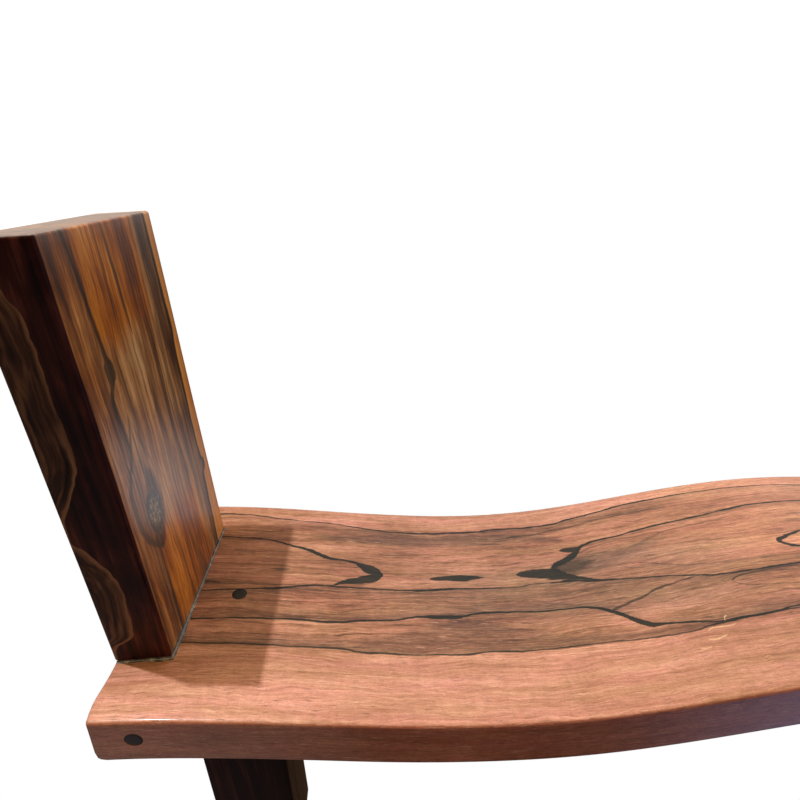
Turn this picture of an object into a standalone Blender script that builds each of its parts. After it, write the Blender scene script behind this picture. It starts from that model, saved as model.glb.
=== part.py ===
"""Kneeling bench: a waved plank on four legs, with a hand-rest post standing on each end.

Metres, +Z up. The origin is on the floor, under the middle of the bench. X runs along the
plank, Y from front (-) to rear (+). "Inset" is a distance in from the end of the plank.
"""
import math

import bmesh
import bpy
from mathutils import Matrix, Vector

# ---------------------------------------------------------------- driving dimensions
GAP = 0.0003                 # clearance between pieces that touch

HALF_LENGTH = 0.625          # plank, centre to the corners of its end
HALF_DEPTH = 0.125           # plank, centre to its front or rear face
SEAT_Z = 0.251               # floor to the plane that the posts stand on

WAVE_HUMP = -0.0126          # plank top at the centre, from SEAT_Z
WAVE_DIP = -0.0367           # lowest part of each kneeling dip
WAVE_CREST = 0.0047          # the crest that each end climbs towards
DIP_AT = 0.286               # distance from the centre to a dip
CREST_AT = 0.665             # distance from the centre to a crest
THICK_END = 0.0411
THICK_MIDDLE = 0.0444
THICKNESS_RUN = 0.450        # the plank reaches its full thickness this far from its end
END_LEAN = 0.0035            # the lower corner of the end stands out past the upper one
END_LOW_RADIUS = 0.007
END_TOP_RADIUS = 0.003
PLANK_EASE = 0.0025
END_BULGE = 0.0027           # the end face stands out past its front and rear corners
CORNER_RUN = 0.020           # along the end, from a corner to the full bulge
WAVE_STATIONS = 36           # straight facets that make up the wave

POST_INSET = (-0.0028, 0.0410)
POST_Y = (-0.0735, 0.0857)
POST_HEIGHT = 0.3165
POST_EASE = 0.0025
TENON_INSET = (0.0183, 0.0383)
TENON_Y = (-0.0535, 0.0620)
TENON_DEPTH = 0.030

LEG_TOP_INSET = (0.0452, 0.1165)
LEG_FOOT_INSET = (0.0394, 0.1110)
LEG_Y = (0.033, 0.081)       # inner and outer face, from the centre line
LEG_EASE = 0.002

RAIL_INSET = 0.077           # centre line of the cross rail and of its screw
RAIL_WIDTH = 0.035
RAIL_DROP = 0.100            # SEAT_Z down to the rail's lower face
RAIL_EASE = 0.0015
RAIL_TENON_WIDTH = 0.015
RAIL_TENON_DROPS = (0.062, 0.090)
RAIL_TENON_LENGTH = 0.020

PLUG_RADIUS = 0.00635
PLUG_LENGTH = 0.0097
COUNTERBORE_DEPTH = 0.010
EDGE_PLUG_INSET = 0.0282
EDGE_PLUG_DROP = 0.0168      # SEAT_Z down to the axis of the edge plugs
TOP_PLUG_Y = -0.0066

SCREW_HEAD_RADIUS = 0.0047
SCREW_HEAD_HEIGHT = 0.0040
SCREW_RADIUS = 0.0025
SCREW_TIP = 0.008
POST_SCREW_LENGTH = 0.100
RAIL_SCREW_LENGTH = 0.075

DOWEL_RADIUS = 0.005
DOWEL_LENGTH = 0.040
DOWEL_INSETS = {"outer": 0.061, "inner": 0.100}
DOWEL_Y = 0.057

ROSEWOOD = ((0.30, 0.135, 0.075, 1.0), 0.25, 0.0)
POST_ROSEWOOD = ((0.16, 0.062, 0.022, 1.0), 0.2, 0.0)
DARK_ROSEWOOD = ((0.035, 0.016, 0.010, 1.0), 0.3, 0.0)
EBONY = ((0.008, 0.007, 0.007, 1.0), 0.35, 0.0)
BEECH = ((0.45, 0.28, 0.15, 1.0), 0.6, 0.0)
STEEL = ((0.55, 0.53, 0.50, 1.0), 0.35, 1.0)

SIDES = {"left": -1, "right": 1}
ENDS = {"front": -1, "rear": 1}


# ---------------------------------------------------------------- the wave
def half_cosine(u):
    return (1 - math.cos(math.pi * u)) / 2


def wave_top(x):
    """Height of the plank's top face at x."""
    reach = abs(x)
    if reach < DIP_AT:
        rise = (WAVE_HUMP - WAVE_DIP) * half_cosine(1 - reach / DIP_AT)
    else:
        rise = (WAVE_CREST - WAVE_DIP) * half_cosine((reach - DIP_AT) / (CREST_AT - DIP_AT))
    return SEAT_Z + WAVE_DIP + rise


def plank_thickness(x):
    along = min(1.0, (HALF_LENGTH - abs(x)) / THICKNESS_RUN)
    return THICK_END + (THICK_MIDDLE - THICK_END) * half_cosine(max(0.0, along))


def stations():
    return [HALF_LENGTH * (2 * i / WAVE_STATIONS - 1) for i in range(WAVE_STATIONS + 1)]


def top_points():
    return [Vector((x, wave_top(x))) for x in stations()]


def low_points():
    """The underside, square to the top face, with its two ends standing out."""
    points = []
    for x in stations():
        step = 0.001
        slope = (wave_top(x + step) - wave_top(x - step)) / (2 * step)
        normal = Vector((-slope, 1.0)).normalized()
        points.append(Vector((x, wave_top(x))) - plank_thickness(x) * normal)
    for point, side in ((points[0], -1), (points[-1], 1)):
        point.x = side * (HALF_LENGTH + END_LEAN)
    return points


# ---------------------------------------------------------------- mesh helpers
def finish_object(name, bm, look=None):
    bmesh.ops.recalc_face_normals(bm, faces=bm.faces)
    mesh = bpy.data.meshes.new(name)
    bm.to_mesh(mesh)
    bm.free()
    piece = bpy.data.objects.new(name, mesh)
    bpy.context.scene.collection.objects.link(piece)
    if look:
        colour, roughness, metallic = look
        material = bpy.data.materials.new(name)
        material.use_nodes = True
        shader = material.node_tree.nodes["Principled BSDF"]
        shader.inputs["Base Color"].default_value = colour
        shader.inputs["Roughness"].default_value = roughness
        shader.inputs["Metallic"].default_value = metallic
        mesh.materials.append(material)
    return piece


def prism_mesh(outline, y_low, y_high):
    """A solid from an outline in X and Z, run straight from y_low to y_high."""
    bm = bmesh.new()
    front = [bm.verts.new((x, y_low, z)) for x, z in outline]
    rear = [bm.verts.new((x, y_high, z)) for x, z in outline]
    bm.faces.new(front)
    bm.faces.new(rear)
    for i in range(len(outline)):
        j = (i + 1) % len(outline)
        bm.faces.new((front[i], front[j], rear[j], rear[i]))
    bmesh.ops.recalc_face_normals(bm, faces=bm.faces)
    return bm


def ease(bm, edges, width, segments=2):
    bmesh.ops.bevel(bm, geom=edges, offset=width, segments=segments, profile=0.5,
                    affect="EDGES", clamp_overlap=True)


def box_mesh(low, high):
    outline = [(low[0], low[2]), (high[0], low[2]), (high[0], high[2]), (low[0], high[2])]
    return prism_mesh(outline, low[1], high[1])


def turned_mesh(profile, segments, place):
    """A closed turned solid: profile is (radius, height) from one pole to the other."""
    bm = bmesh.new()
    rings = []
    for radius, height in profile:
        if radius == 0:
            rings.append([bm.verts.new((0, 0, height))])
        else:
            angles = [2 * math.pi * k / segments for k in range(segments)]
            rings.append([bm.verts.new((radius * math.cos(a), radius * math.sin(a), height))
                          for a in angles])
    for below, above in zip(rings, rings[1:]):
        for k in range(segments):
            m = (k + 1) % segments
            corners = [below[k % len(below)], below[m % len(below)],
                       above[m % len(above)], above[k % len(above)]]
            bm.faces.new(list(dict.fromkeys(corners)))
    bmesh.ops.recalc_face_normals(bm, faces=bm.faces)
    bmesh.ops.transform(bm, matrix=place, verts=bm.verts)
    return bm


def rod_mesh(start, end, radius, segments=24):
    """A plain round rod from start to end."""
    start = Vector(start)
    run = Vector(end) - start
    place = Matrix.Translation(start) @ run.to_track_quat("Z", "Y").to_matrix().to_4x4()
    profile = [(0, 0), (radius, 0), (radius, run.length), (0, run.length)]
    return turned_mesh(profile, segments, place)


def merge(meshes):
    """One bmesh that holds several separate bodies."""
    joined = bmesh.new()
    for bm in meshes:
        carrier = bpy.data.meshes.new("carrier")
        bm.to_mesh(carrier)
        bm.free()
        joined.from_mesh(carrier)
        bpy.data.meshes.remove(carrier)
    return joined


def cutter(name, meshes):
    tool = finish_object(name, merge(meshes))
    tool.hide_render = True
    tool.display_type = "WIRE"
    return tool


def combine(piece, tool, operation="DIFFERENCE"):
    modifier = piece.modifiers.new(tool.name, "BOOLEAN")
    modifier.object = tool
    modifier.operation = operation
    modifier.solver = "EXACT"


def from_end(side, inset):
    return side * (HALF_LENGTH - inset)


def span(side, insets):
    """A pair of insets as lowest and highest X."""
    return sorted(from_end(side, inset) for inset in insets)


def rounded_corner(before, corner, after, radius, segments):
    """Points that round one corner of an outline."""
    to_before = (before - corner).normalized()
    to_after = (after - corner).normalized()
    half_angle = to_before.angle(to_after) / 2
    middle = (to_before + to_after).normalized()
    centre = corner + middle * (radius / math.sin(half_angle))
    first = corner + to_before * (radius / math.tan(half_angle)) - centre
    last = corner + to_after * (radius / math.tan(half_angle)) - centre
    points = []
    for k in range(segments + 1):
        blend = first.lerp(last, k / segments).normalized()
        points.append(centre + blend * radius)
    return points


# ---------------------------------------------------------------- the plank
def plank_outline():
    top = top_points()
    low = low_points()
    outline = rounded_corner(low[0], top[0], top[1], END_TOP_RADIUS, 2)
    outline += top[1:-1]
    outline += rounded_corner(top[-2], top[-1], low[-1], END_TOP_RADIUS, 2)
    outline += rounded_corner(top[-1], low[-1], low[-2], END_LOW_RADIUS, 4)
    outline += reversed(low[1:-1])
    outline += rounded_corner(low[1], low[0], top[0], END_LOW_RADIUS, 4)
    return outline


def bulge_ends(bm):
    """Push both end faces out between their corners, in an even curve."""
    steps = 3
    for end in ENDS.values():
        for k in range(1, steps + 1):
            cut_at = Vector((0, end * (HALF_DEPTH - CORNER_RUN * k / steps), 0))
            bmesh.ops.bisect_plane(bm, geom=bm.verts[:] + bm.edges[:] + bm.faces[:],
                                   plane_co=cut_at, plane_no=(0, 1, 0))
    for v in bm.verts:
        if abs(v.co.x) > HALF_LENGTH - 2 * END_LOW_RADIUS:
            from_corner = min(1.0, (HALF_DEPTH - abs(v.co.y)) / CORNER_RUN)
            bulge = END_BULGE * math.sin(math.pi / 2 * from_corner)
            v.co.x += math.copysign(bulge, v.co.x)


def make_plank(cutters):
    bm = prism_mesh(plank_outline(), -HALF_DEPTH, HALF_DEPTH)
    bulge_ends(bm)
    rims = [e for e in bm.edges
            if min(abs(v.co.y) for v in e.verts) > HALF_DEPTH - GAP
            and abs(e.verts[0].co.y - e.verts[1].co.y) < GAP]
    ease(bm, rims, PLANK_EASE)
    plank = finish_object("kneeling_plank", bm, ROSEWOOD)
    for tool in cutters:
        combine(plank, tool)


def seat_tools():
    """The level seat under each post."""
    tools = []
    for side in SIDES.values():
        x_low, x_high = span(side, (POST_INSET[0] - 0.01, POST_INSET[1] + GAP))
        tools.append(box_mesh((x_low, POST_Y[0] - GAP, SEAT_Z),
                              (x_high, POST_Y[1] + GAP, SEAT_Z + 0.02)))
    return tools


def mortise_tools():
    tools = []
    for side in SIDES.values():
        x_low, x_high = span(side, (TENON_INSET[0] - GAP, TENON_INSET[1] + GAP))
        tools.append(box_mesh((x_low, TENON_Y[0] - GAP, SEAT_Z - TENON_DEPTH - GAP),
                              (x_high, TENON_Y[1] + GAP, SEAT_Z + 0.01)))
    return tools


# ---------------------------------------------------------------- fasteners
def post_screw_axis(side, end):
    """Start at the plank's edge, and the unit step inwards."""
    start = Vector((from_end(side, EDGE_PLUG_INSET), end * HALF_DEPTH, SEAT_Z - EDGE_PLUG_DROP))
    return start, Vector((0, -end, 0))


def rail_screw_axis(side):
    x = from_end(side, RAIL_INSET)
    return Vector((x, TOP_PLUG_Y, wave_top(x))), Vector((0, 0, -1))


def bore_tools(start, inward, length, mouth=0.006):
    """A counterbore for the plug and the screw's head, and a clearance hole for its shank."""
    wide_end = start + inward * (COUNTERBORE_DEPTH + GAP + SCREW_HEAD_HEIGHT)
    narrow_end = start + inward * (COUNTERBORE_DEPTH + length + 2 * GAP)
    wide = rod_mesh(start - inward * mouth, wide_end, PLUG_RADIUS + GAP)
    narrow = rod_mesh(wide_end - inward * 0.002, narrow_end, SCREW_RADIUS + GAP, 16)
    return wide, narrow


def make_screw(name, start, inward, length):
    """A countersunk wood screw whose head lies at the bottom of the counterbore."""
    shank_end = length - SCREW_TIP
    profile = [(0, 0), (SCREW_HEAD_RADIUS, 0), (SCREW_HEAD_RADIUS, 0.0006),
               (SCREW_RADIUS, SCREW_HEAD_HEIGHT), (SCREW_RADIUS, shank_end), (0, length)]
    head = start + inward * (COUNTERBORE_DEPTH + GAP)
    place = Matrix.Translation(head) @ inward.to_track_quat("Z", "Y").to_matrix().to_4x4()
    screw = finish_object(name, turned_mesh(profile, 16, place), STEEL)
    screw.data.shade_smooth()
    screw.data.set_sharp_from_angle(angle=math.radians(35))


def make_plug(name, start, inward, proud=0.0):
    plug = rod_mesh(start - inward * proud, start + inward * PLUG_LENGTH, PLUG_RADIUS)
    piece = finish_object(name, plug, EBONY)
    piece.data.shade_smooth()
    piece.data.set_sharp_from_angle(angle=math.radians(35))
    return piece


def dowel_mesh(side, end, inset, slack=0.0):
    """One dowel, half in the leg and half in the plank."""
    x = from_end(side, inset)
    middle = Vector((x, end * DOWEL_Y, wave_top(x) - plank_thickness(x)))
    reach = Vector((0, 0, DOWEL_LENGTH / 2 + slack))
    return rod_mesh(middle - reach, middle + reach, DOWEL_RADIUS + slack, 16)


def make_dowel(name, side, end, inset):
    dowel = finish_object(name, dowel_mesh(side, end, inset), BEECH)
    dowel.data.shade_smooth()
    dowel.data.set_sharp_from_angle(angle=math.radians(35))


# ---------------------------------------------------------------- posts, legs and rails
def make_post(name, side, screw_holes):
    x_low, x_high = span(side, POST_INSET)
    base = SEAT_Z + GAP
    bm = box_mesh((x_low, POST_Y[0], base), (x_high, POST_Y[1], SEAT_Z + POST_HEIGHT))
    upper = [e for e in bm.edges if max(v.co.z for v in e.verts) > base + 0.001]
    ease(bm, upper, POST_EASE)
    post = finish_object(name, bm, POST_ROSEWOOD)
    t_low, t_high = span(side, TENON_INSET)
    tenon = box_mesh((t_low, TENON_Y[0], SEAT_Z - TENON_DEPTH),
                     (t_high, TENON_Y[1], SEAT_Z + 0.010))
    combine(post, cutter(name + "_tenon", [tenon]), "UNION")
    combine(post, screw_holes)


def rail_tenon_box(side, slack=0.0):
    half_width = RAIL_TENON_WIDTH / 2
    x_low, x_high = span(side, (RAIL_INSET - half_width, RAIL_INSET + half_width))
    reach = LEG_Y[0] + RAIL_TENON_LENGTH + slack
    return box_mesh((x_low - slack, -reach, SEAT_Z - RAIL_TENON_DROPS[1] - slack),
                    (x_high + slack, reach, SEAT_Z - RAIL_TENON_DROPS[0] + slack))


def under_plank_tool():
    """Everything above the plank's underside, lowered by the gap."""
    low = low_points()
    outline = [(p.x, p.y - GAP) for p in low]
    outline += [(low[-1].x, SEAT_Z + 0.05), (low[0].x, SEAT_Z + 0.05)]
    return prism_mesh(outline, -HALF_DEPTH, HALF_DEPTH)


def make_leg(name, side, end, tools):
    top_x = span(side, LEG_TOP_INSET)
    foot_x = span(side, LEG_FOOT_INSET)
    shoulder = SEAT_Z - 0.02
    outline = [(foot_x[0], 0), (foot_x[1], 0), (top_x[1], shoulder), (top_x[0], shoulder)]
    y_low, y_high = sorted((end * LEG_Y[0], end * LEG_Y[1]))
    bm = prism_mesh(outline, y_low, y_high)
    edges = [e for e in bm.edges if min(v.co.z for v in e.verts) < shoulder - 0.001]
    ease(bm, edges, LEG_EASE)
    leg = finish_object(name, bm, DARK_ROSEWOOD)
    for tool in tools:
        combine(leg, tool)


def make_rail(name, side, tools):
    x_low, x_high = span(side, (RAIL_INSET - RAIL_WIDTH / 2, RAIL_INSET + RAIL_WIDTH / 2))
    shoulder = LEG_Y[0] - GAP
    bm = box_mesh((x_low, -shoulder, SEAT_Z - RAIL_DROP), (x_high, shoulder, SEAT_Z - 0.02))
    low_edges = [e for e in bm.edges
                 if max(v.co.z for v in e.verts) < SEAT_Z - RAIL_DROP + 0.001
                 and abs(e.verts[0].co.y - e.verts[1].co.y) > 0.01]
    ease(bm, low_edges, RAIL_EASE)
    rail = finish_object(name, bm, DARK_ROSEWOOD)
    combine(rail, cutter(name + "_tenons", [rail_tenon_box(side)]), "UNION")
    for tool in tools:
        combine(rail, tool)


# ---------------------------------------------------------------- the whole bench
def main():
    for old in list(bpy.data.objects):
        bpy.data.objects.remove(old, do_unlink=True)

    wide_bores = []
    narrow_bores = []
    for side in SIDES.values():
        for end in ENDS.values():
            wide, narrow = bore_tools(*post_screw_axis(side, end), POST_SCREW_LENGTH)
            wide_bores.append(wide)
            narrow_bores.append(narrow)
        wide, narrow = bore_tools(*rail_screw_axis(side), RAIL_SCREW_LENGTH)
        wide_bores.append(wide)
        narrow_bores.append(narrow)
    dowel_bores = [dowel_mesh(side, end, inset, GAP) for side in SIDES.values()
                   for end in ENDS.values() for inset in DOWEL_INSETS.values()]

    seats = cutter("seat_tool", seat_tools())
    mortises = cutter("mortise_tool", mortise_tools())
    counterbores = cutter("counterbore_tool", wide_bores)
    screw_holes = cutter("screw_hole_tool", narrow_bores)
    dowel_holes = cutter("dowel_hole_tool", dowel_bores)
    under_plank = cutter("under_plank_tool", [under_plank_tool()])
    above_outline = [(p.x, p.y) for p in top_points()]
    above_outline += [(HALF_LENGTH, SEAT_Z + 0.05), (-HALF_LENGTH, SEAT_Z + 0.05)]
    above_plank = cutter("above_plank_tool", [prism_mesh(above_outline, -HALF_DEPTH, HALF_DEPTH)])
    rail_mortises = cutter("rail_mortise_tool",
                           [rail_tenon_box(side, GAP) for side in SIDES.values()])

    make_plank([seats, mortises, counterbores, screw_holes, dowel_holes])
    for side_name, side in SIDES.items():
        make_post(side_name + "_post", side, screw_holes)
        make_rail(side_name + "_cross_rail", side, [under_plank, screw_holes])
        start, inward = rail_screw_axis(side)
        make_screw(side_name + "_rail_screw", start, inward, RAIL_SCREW_LENGTH)
        plug = make_plug(side_name + "_top_plug", start, inward, proud=0.004)
        combine(plug, above_plank)
        for end_name, end in ENDS.items():
            corner = end_name + "_" + side_name
            make_leg(corner + "_leg", side, end, [under_plank, rail_mortises, dowel_holes])
            for place, inset in DOWEL_INSETS.items():
                make_dowel(corner + "_" + place + "_dowel", side, end, inset)
            start, inward = post_screw_axis(side, end)
            make_screw(corner + "_post_screw", start, inward, POST_SCREW_LENGTH)
            make_plug(corner + "_edge_plug", start, inward)


main()
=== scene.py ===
"""The looks of the kneeling bench: lacquered, strongly figured rosewood with black screw plugs."""
import math

import bmesh
import bpy
from mathutils import Matrix, Vector, noise


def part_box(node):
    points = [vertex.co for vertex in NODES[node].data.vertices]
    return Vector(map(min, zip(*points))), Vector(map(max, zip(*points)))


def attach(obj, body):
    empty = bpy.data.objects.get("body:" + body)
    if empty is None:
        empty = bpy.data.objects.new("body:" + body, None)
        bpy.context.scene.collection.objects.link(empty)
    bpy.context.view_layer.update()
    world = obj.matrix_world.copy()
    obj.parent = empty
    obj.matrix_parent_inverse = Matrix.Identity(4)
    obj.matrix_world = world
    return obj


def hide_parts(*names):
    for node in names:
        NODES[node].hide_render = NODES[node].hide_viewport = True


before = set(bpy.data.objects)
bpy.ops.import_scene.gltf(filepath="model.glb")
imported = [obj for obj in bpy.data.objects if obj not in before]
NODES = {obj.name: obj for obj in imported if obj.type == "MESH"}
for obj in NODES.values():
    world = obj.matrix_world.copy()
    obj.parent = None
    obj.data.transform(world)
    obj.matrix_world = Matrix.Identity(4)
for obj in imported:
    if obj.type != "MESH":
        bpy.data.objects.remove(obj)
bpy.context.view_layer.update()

TO_MM = 1000.0
SIDES = {"left": -1, "right": 1}
ENDS = {"front": -1, "rear": 1}

# ---------------------------------------------------------------- sizes, as in the CAD model
POST_LOW, POST_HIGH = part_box("left_post")
GAP = 0.0003                 # clearance between pieces that touch
HALF_LENGTH = 0.625
HALF_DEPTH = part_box("kneeling_plank")[1].y
SEAT_Z = 0.251               # the plane that the posts stand on
WAVE_HUMP = -0.0126
WAVE_DIP = -0.0367
WAVE_CREST = 0.0047
DIP_AT = 0.286
CREST_AT = 0.665
THICK_END = 0.0411
THICK_MIDDLE = 0.0444
THICKNESS_RUN = 0.450
END_LEAN = 0.0012            # beyond the lean that the wave's own slope gives
END_BULGE = 0.0027           # the end face stands out past its front and rear corners
CORNER_RUN = 0.022
END_LOW_RADIUS = 0.007
POST_INSET = (-0.0028, 0.041)
TENON_INSET = (0.0183, 0.0383)
TENON_Y = (-0.0535, 0.062)
TENON_DEPTH = 0.030
LEG_TOP_INSET = (0.0452, 0.1165)
LEG_FOOT_INSET = (0.0394, 0.111)
LEG_Y = (0.033, 0.081)
LEG_HEIGHT = 0.205
EDGE_PLUG_INSET = 0.0282
EDGE_PLUG_DROP = 0.0168
TOP_PLUG_INSET = 0.077
TOP_PLUG_Y = -0.0066
PLUG_RADIUS = 0.00635
PLUG_LENGTH = 0.0097
COUNTERBORE_DEPTH = 0.010
POST_SCREW_LENGTH = 0.100
RAIL_SCREW_LENGTH = 0.075

# ---------------------------------------------------------------- sizes of the visual meshes
BORE_DEPTH = 0.0145          # of the plank's holes, from the surface to behind the screw's head
BORE_SLACK = 0.0001
PLANK_ROUND, POST_ROUND, LEG_ROUND = 0.0028, 0.0026, 0.0020
MESH_STEP = 0.006
SCREW_HEAD_RADIUS, SCREW_HEAD_HEIGHT = 0.0047, 0.0040
SCREW_CORE, SCREW_CREST, SCREW_PITCH = 0.0018, 0.00245, 0.0026
DOWEL_RADIUS, DOWEL_CHAMFER, FLUTES, FLUTE_DEPTH = 0.0049, 0.0015, 12, 0.00035
BEAD_RADIUS = 0.0024

# ---------------------------------------------------------------- camera and lights, in metres
CAMERA_FROM_FOOT = Vector((0.1806, -0.2946, 0.339))
CAMERA_ANGLES = (24.311, 1.52, -3.342)      # pitch down, yaw to the right, roll, in degrees
CAMERA_LENS = 23.39
KEY_PLACE = Vector((-HALF_LENGTH - 0.347, 0.06, SEAT_Z + 2.08))
GLOW_PLACE = Vector((-HALF_LENGTH + 0.39, 0.61, 0.0))
GLOW_TOWARD = Vector((-0.3, -0.6, 0.3))


def link(piece):
    bpy.context.scene.collection.objects.link(piece)
    return piece


def make_camera():
    """Set off from the foot of the left post, at the front inner corner."""
    foot = Vector((POST_LOW.x + POST_INSET[1] - POST_INSET[0], POST_LOW.y, SEAT_Z))
    pitch, yaw, roll = (math.radians(a) for a in CAMERA_ANGLES)
    look = Vector((math.sin(yaw) * math.cos(pitch), math.cos(yaw) * math.cos(pitch), -math.sin(pitch)))
    level = Vector((math.cos(yaw), -math.sin(yaw), 0))
    rise = level.cross(look)
    right = math.cos(roll) * level + math.sin(roll) * rise
    up = -math.sin(roll) * level + math.cos(roll) * rise
    camera = link(bpy.data.objects.new("camera", bpy.data.cameras.new("camera")))
    camera.data.sensor_width = 36
    camera.data.lens = CAMERA_LENS
    camera.data.clip_start = 0.01
    turn = Matrix((right, up, -look)).transposed().to_4x4()
    camera.matrix_world = Matrix.Translation(foot + CAMERA_FROM_FOOT) @ turn
    bpy.context.scene.camera = camera


def make_studio():
    """A pale floor that runs up into a round backdrop. It is seen, but gives the bench no light."""
    radius, sweep, wall, roof, segments = 9.0, 2.0, 5.0, 8.0, 48
    profile = [(radius - sweep, 0)]
    profile += [(radius - sweep * (1 - math.sin(a)), sweep * (1 - math.cos(a)))
                for a in (math.radians(15 * k) for k in range(1, 7))]
    profile += [(radius, wall), (radius * 0.6, roof)]
    bm = bmesh.new()
    skin(bm, [circle(bm, r, z, segments) for r, z in profile])
    mesh = bpy.data.meshes.new("studio")
    bm.to_mesh(mesh)
    bm.free()
    mesh.shade_smooth()
    studio = link(bpy.data.objects.new("studio", mesh))
    studio.location.z = -0.0005
    g = Graph("studio_paint")
    soft = g.noise(g.object_point(), 3.0, detail=2)
    g.set("Base Color", g.mix(soft, (0.1, 0.1, 0.1), (0.13, 0.13, 0.13)))
    g.set("Roughness", 0.8)
    g.set("Specular IOR Level", 0.0)
    g.set("Emission Color", (1, 1, 1))
    g.set("Emission Strength", 1.0)
    mesh.materials.append(g.material)
    studio.visible_diffuse = False
    studio.visible_glossy = False
    studio.visible_shadow = False


def make_lamps():
    """One small lamp overhead at the left for the crisp shadow, and a low glow behind at the right."""
    lamp = bpy.data.lights.new("key", "POINT")
    lamp.energy = 164
    lamp.shadow_soft_size = 0.014
    lamp.color = (0.91, 0.95, 1.0)
    key = link(bpy.data.objects.new("key", lamp))
    key.location = KEY_PLACE
    key.visible_camera = False

    sheen = bpy.data.lights.new("glow", "AREA")
    sheen.shape = "ELLIPSE"
    sheen.size, sheen.size_y = 0.07, 0.26
    sheen.energy = 0.26
    sheen.color = (0.95, 0.93, 1.0)
    glow = link(bpy.data.objects.new("glow", sheen))
    glow.location = GLOW_PLACE
    glow.rotation_mode = "QUATERNION"
    glow.rotation_quaternion = GLOW_TOWARD.to_track_quat("-Z", "Y")
    glow.visible_camera = False
    glow.visible_diffuse = False


def make_room():
    """The light all round: a warm ceiling, a window behind, and what the floor throws back."""
    world = bpy.data.worlds.new("studio")
    world.use_nodes = True
    bpy.context.scene.world = world
    g = Graph(tree=world.node_tree)
    x, y, z = g.split(g.coordinates("Generated"))
    front = y.fit(0.0, -0.3)
    floor = g.mix(x.fit(0.0, -0.3) * front, (0.035, 0.026, 0.02), (0.36, 0.31, 0.3))
    floor = g.mix(x.fit(0.28, 0.62) * front, floor, (0.48, 0.6, 1.00))
    light = g.mix(z.fit(0.55, 0.95), (0.075, 0.058, 0.044), (1.52, 1.08, 0.6))
    window = (x * 0.50 + y * 0.74 + z * 0.45).fit(0.74, 1.05)
    light = g.mix(window, light, (1.1, 1.17, 1.25))
    light = g.mix(x.fit(0.62, 0.9) * z.fit(-0.05, 0.1), light, (0.62, 0.5, 0.38))
    horizon = z.fit(0.13, 0.07) * z.fit(-0.1, 0.0) * y.fit(0.0, 0.4)
    light = g.mix(horizon, light, (0.85, 0.84, 0.83))
    light = g.mix(z.fit(0.0, -0.25), light, floor)
    g.put(world.node_tree.nodes["Background"].inputs[0], light)


# ---------------------------------------------------------------- node graphs
class Value:
    """A node's output, which takes part in plain arithmetic as if it were a number."""

    def __init__(self, graph, socket):
        self.graph = graph
        self.socket = socket

    def __add__(self, other):
        return self.graph.math("ADD", self, other)

    def __sub__(self, other):
        return self.graph.math("SUBTRACT", self, other)

    def __rsub__(self, other):
        return self.graph.math("SUBTRACT", other, self)

    def __mul__(self, other):
        return self.graph.math("MULTIPLY", self, other)

    __radd__, __rmul__ = __add__, __mul__

    def __abs__(self):
        return self.graph.math("ABSOLUTE", self)

    def most(self, other):
        return self.graph.math("MAXIMUM", self, other)

    def least(self, other):
        return self.graph.math("MINIMUM", self, other)

    def swing(self, amount):
        """A noise value about its middle, scaled to this amount."""
        return (self - 0.5) * amount

    def fit(self, low, high, to_low=0.0, to_high=1.0, smooth=True):
        """From low..high to to_low..to_high, held at the ends."""
        node = self.graph.node("MapRange")
        node.interpolation_type = "SMOOTHSTEP" if smooth else "LINEAR"
        node.clamp = True
        for name, number in (("Value", self), ("From Min", low), ("From Max", high),
                             ("To Min", to_low), ("To Max", to_high)):
            self.graph.put(node.inputs[name], number)
        return Value(self.graph, node.outputs["Result"])

    def ramp(self, *stops):
        """Colours along this value, each stop a (value, colour)."""
        node = self.graph.node("ValToRGB")
        self.graph.put(node.inputs[0], self)
        elements = node.color_ramp.elements
        while len(elements) < len(stops):
            elements.new(0.5)
        for element, (position, colour) in zip(elements, stops):
            element.position = position
            element.color = (*colour, 1)
        return Value(self.graph, node.outputs[0])

    def curve(self, points):
        """A smooth curve through (this value, result) points, held beyond the ends."""
        first, last = points[0][0], points[-1][0]
        low = min(v for _, v in points)
        high = max(v for _, v in points)
        node = self.graph.node("FloatCurve")
        self.graph.put(node.inputs["Value"], self.fit(first, last, smooth=False))
        curve = node.mapping.curves[0]
        while len(curve.points) < len(points):
            curve.points.new(0.5, 0.5)
        for point, (a, v) in zip(curve.points, points):
            point.location = ((a - first) / (last - first), (v - low) / (high - low))
            point.handle_type = "AUTO_CLAMPED"
        node.mapping.update()
        return Value(self.graph, node.outputs[0]) * (high - low) + low


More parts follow.
